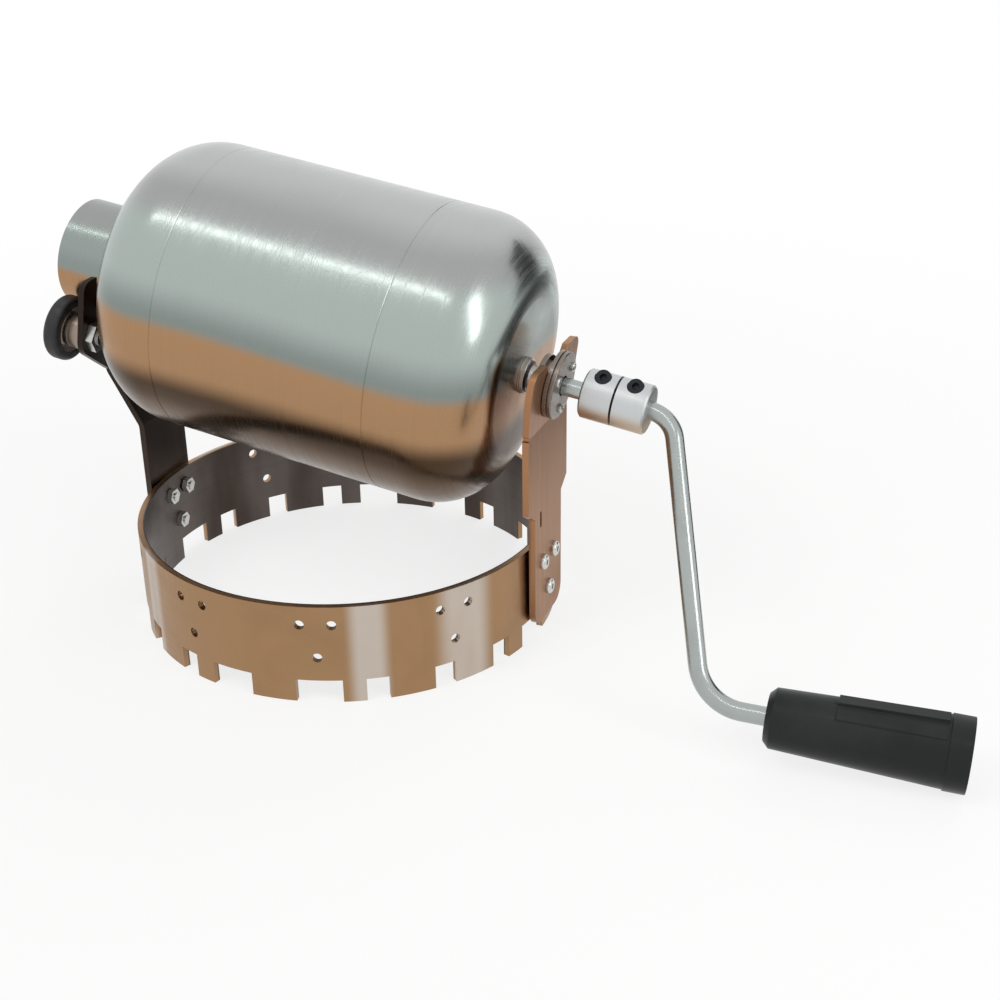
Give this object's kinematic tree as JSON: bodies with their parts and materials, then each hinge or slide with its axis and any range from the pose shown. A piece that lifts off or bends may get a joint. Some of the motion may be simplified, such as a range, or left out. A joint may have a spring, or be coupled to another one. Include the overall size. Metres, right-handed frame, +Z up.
{
  "type": "stovetop coffee roaster",
  "caption": "Hand-turned roasting drum on a notched base ring, its neck on two rollers and its shaft in a lift-out bearing hub, turned by a bent crank with a free-spinning grip.",
  "frame": {"origin": "centre of the base ring on the plane its teeth stand on", "axes": "+X from the drum neck towards the crank, +Z up; the drum axis lies in the plane Y = 0 and drops 8.5 degrees towards +X"},
  "size_m": [0.4366, 0.198, 0.215],
  "materials": {
    "stainless": "satin",
    "tinted_steel": "satin, heat-tinted",
    "turned_metal": "turned",
    "aluminium": "matte",
    "rod": "drawn",
    "bearing_steel": "polished",
    "zinc_hardware": "zinc plated",
    "black_screws": "black oxide",
    "tyre": "matte",
    "grip": "satin"
  },
  "bodies": {
    "stand": {"base_ring": "tinted_steel", "crank_side_bracket": "tinted_steel", "neck_side_bracket": "tinted_steel", "crank_bracket_screws": "zinc_hardware", "crank_bracket_nuts": "zinc_hardware", "neck_bracket_screws": "zinc_hardware", "neck_bracket_nuts": "zinc_hardware", "roller_bolts": "zinc_hardware", "roller_collars": "turned_metal", "roller_nuts": "zinc_hardware", "near_roller_inner_ring": "bearing_steel", "far_roller_inner_ring": "bearing_steel"},
    "near_roller": {"near_roller_tyre": "tyre", "near_roller_outer_ring": "bearing_steel", "near_roller_shields": "bearing_steel", "near_roller_balls": "bearing_steel"},
    "far_roller": {"far_roller_tyre": "tyre", "far_roller_outer_ring": "bearing_steel", "far_roller_shields": "bearing_steel", "far_roller_balls": "bearing_steel"},
    "hub": {"hub_body": "turned_metal", "hub_cover": "turned_metal", "hub_cover_screws": "zinc_hardware", "hub_bearing_outer_ring": "bearing_steel", "hub_bearing_shields": "bearing_steel", "hub_bearing_balls": "bearing_steel"},
    "roasting_drum": {"drum_barrel": "stainless", "neck_end_cap": "stainless", "crank_end_cap": "stainless", "neck_tube": "stainless", "mixing_vanes": "stainless", "drive_boss": "turned_metal", "drive_shaft": "stainless", "hub_bearing_inner_ring": "bearing_steel", "shaft_circlip": "zinc_hardware", "coupling_body": "aluminium", "coupling_screws": "black_screws", "crank_rod": "rod", "grip_stop_ring": "zinc_hardware", "grip_washer": "zinc_hardware", "grip_lock_nut": "zinc_hardware"},
    "grip": {"handle_grip": "grip"}
  },
  "joints": [
    {"name": "drum_lift", "type": "slide", "parent": "stand", "child": "hub", "axis": [0.1478, 0, 0.989], "range_m": [0, 0.04]},
    {"name": "drum_spin", "type": "hinge", "parent": "hub", "child": "roasting_drum", "pos_m": [0, 0, 0.1397], "axis": [0.989, 0, -0.1478], "continuous": true},
    {"name": "grip_spin", "type": "hinge", "parent": "roasting_drum", "child": "grip", "pos_m": [0.22062, -0.06572, 0.01944], "axis": [0.9959, 0.0791, -0.0438], "continuous": true},
    {"name": "near_roller_spin", "type": "hinge", "parent": "stand", "child": "near_roller", "pos_m": [-0.12446, -0.03117, 0.13232], "axis": [0.989, 0, -0.1478], "continuous": true},
    {"name": "far_roller_spin", "type": "hinge", "parent": "stand", "child": "far_roller", "pos_m": [-0.12446, 0.03117, 0.13232], "axis": [0.989, 0, -0.1478], "continuous": true}
  ],
  "couplings": [
    {"joint": "near_roller_spin", "follows": "drum_spin", "ratio": -1.6447},
    {"joint": "far_roller_spin", "follows": "drum_spin", "ratio": -1.6447}
  ]
}
